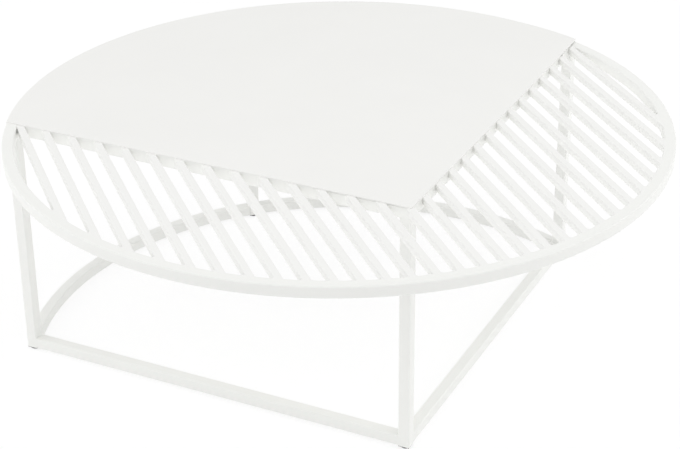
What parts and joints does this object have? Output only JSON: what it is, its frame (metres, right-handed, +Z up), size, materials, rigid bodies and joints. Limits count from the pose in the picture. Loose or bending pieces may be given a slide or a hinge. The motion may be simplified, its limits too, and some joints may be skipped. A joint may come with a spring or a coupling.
{
  "type": "low outdoor table",
  "caption": "Low round outdoor table welded from white powder-coated square tube, with a sheet top that ends in a right-angled corner, a slatted front and a floor frame.",
  "frame": {"origin": "on the floor, below the middle of the round top", "axes": "+Z up; X = 0 is the plane of symmetry; the corner of the sheet top and the slats point to -Y"},
  "size_m": [0.9, 0.8999, 0.36],
  "materials": {
    "tube_coat": "matt powder coat",
    "slat_coat": "matt powder coat",
    "sheet_coat": "matt powder coat",
    "glide_plastic": "moulded"
  },
  "bodies": {
    "root": {"top_sheet": "sheet_coat", "top_ring": "tube_coat", "cross_bar_left": "tube_coat", "cross_bar_right": "tube_coat", "base_bar_left": "tube_coat", "base_bar_right": "tube_coat", "base_arc_left": "tube_coat", "base_arc_right": "tube_coat", "leg_front": "tube_coat", "leg_left": "tube_coat", "leg_right": "tube_coat", "leg_rear": "tube_coat", "slat_centre": "slat_coat", "slat_left_01": "slat_coat", "slat_left_02": "slat_coat", "slat_left_03": "slat_coat", "slat_left_04": "slat_coat", "slat_left_05": "slat_coat", "slat_left_06": "slat_coat", "slat_left_07": "slat_coat", "slat_left_08": "slat_coat", "slat_left_09": "slat_coat", "slat_left_10": "slat_coat", "slat_left_11": "slat_coat", "slat_left_12": "slat_coat", "slat_left_13": "slat_coat", "slat_left_14": "slat_coat", "slat_right_01": "slat_coat", "slat_right_02": "slat_coat", "slat_right_03": "slat_coat", "slat_right_04": "slat_coat", "slat_right_05": "slat_coat", "slat_right_06": "slat_coat", "slat_right_07": "slat_coat", "slat_right_08": "slat_coat", "slat_right_09": "slat_coat", "slat_right_10": "slat_coat", "slat_right_11": "slat_coat", "slat_right_12": "slat_coat", "slat_right_13": "slat_coat", "slat_right_14": "slat_coat", "glide_front": "glide_plastic", "glide_left": "glide_plastic", "glide_right": "glide_plastic", "glide_rear": "glide_plastic"}
  },
  "joints": []
}
